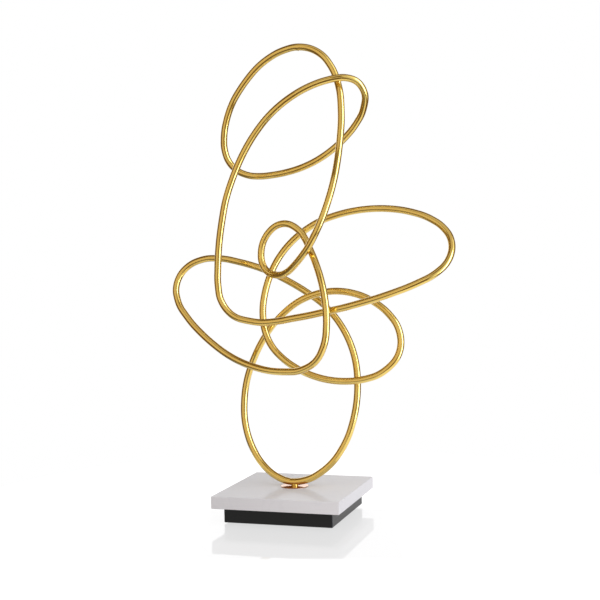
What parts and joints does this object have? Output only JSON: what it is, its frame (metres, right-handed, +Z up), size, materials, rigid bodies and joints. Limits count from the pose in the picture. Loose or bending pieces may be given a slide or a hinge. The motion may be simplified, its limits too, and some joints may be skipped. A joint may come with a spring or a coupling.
{
  "type": "knot sculpture",
  "caption": "Free-standing abstract sculpture: a continuous gold bar bent into an open interlaced knot, on a square marble slab over a dark set-in plinth.",
  "frame": {"origin": "centre of the felt's underside, where the sculpture rests, straight below the stud that holds the knot", "axes": "+Z up, +X to the right along the base's front edge and across the knot's broad side, +Y to the back"},
  "size_m": [0.3488, 0.152, 0.5518],
  "materials": {
    "gold_bar": "polished gold-coloured plating",
    "gold_foot": "polished gold-coloured plating",
    "dowel_steel": "ground",
    "marble": "polished pale grey-white marble",
    "black_lacquer": "black lacquer",
    "zinc_steel": "zinc plated",
    "felt": "felt"
  },
  "bodies": {
    "root": {"crown_left": "gold_bar", "crown_right": "gold_bar", "flank_left": "gold_bar", "wing_right": "gold_bar", "waist_left": "gold_bar", "waist_right": "gold_bar", "foot_left": "gold_bar", "foot_right": "gold_bar", "wing_left": "gold_bar", "heart_right": "gold_bar", "heart_left": "gold_bar", "spine": "gold_bar", "joint_dowels": "dowel_steel", "foot_stud": "gold_foot", "foot_flange": "gold_foot", "marble_slab": "marble", "plinth": "black_lacquer", "stud_washer": "zinc_steel", "stud_nut": "zinc_steel", "felt_sheet": "felt"}
  },
  "joints": []
}
